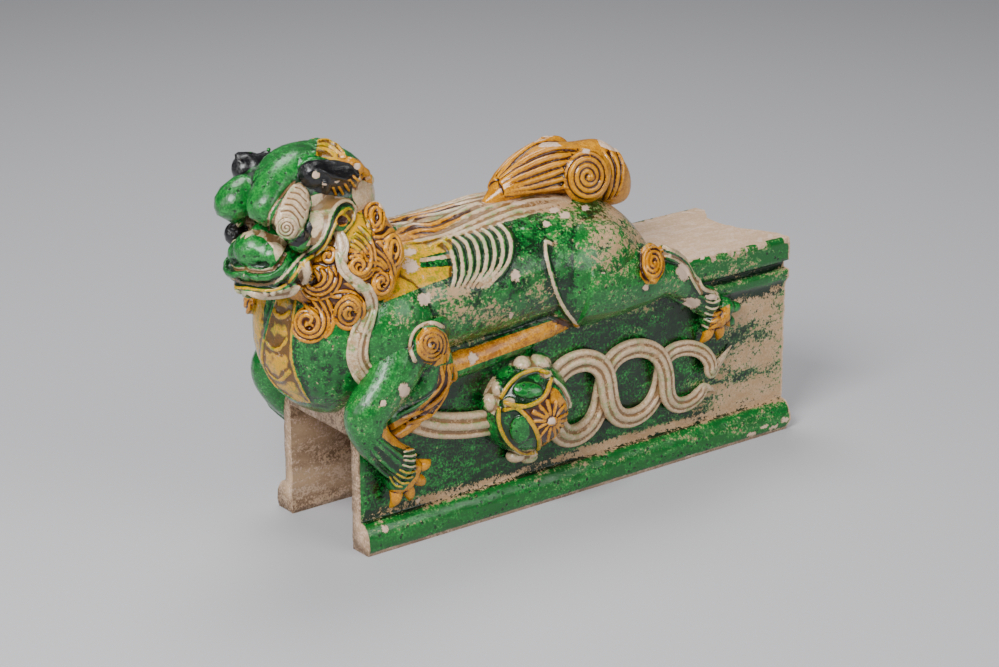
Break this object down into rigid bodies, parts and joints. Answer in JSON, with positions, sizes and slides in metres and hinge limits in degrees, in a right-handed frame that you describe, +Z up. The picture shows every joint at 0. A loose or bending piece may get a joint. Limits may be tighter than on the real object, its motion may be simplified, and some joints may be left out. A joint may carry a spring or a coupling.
{
  "type": "glazed ridge tile ornament",
  "caption": "Hollow glazed ridge tile, open below and at both ends, with a leaping lion in the round on top and a ball and woven ribbon in relief on its walls.",
  "frame": {"origin": "on the ground, under the middle of the whole piece's length and width", "axes": "+X from the lion's head to the rear end of the tile, +Y from the front wall to the back wall, +Z up"},
  "size_m": [0.546, 0.1918, 0.3336],
  "materials": {
    "lead_glaze": "green, amber and cream lead glaze, worn to buff clay in places"
  },
  "bodies": {
    "root": {"ridge_tile_lion": "lead_glaze"}
  },
  "joints": []
}
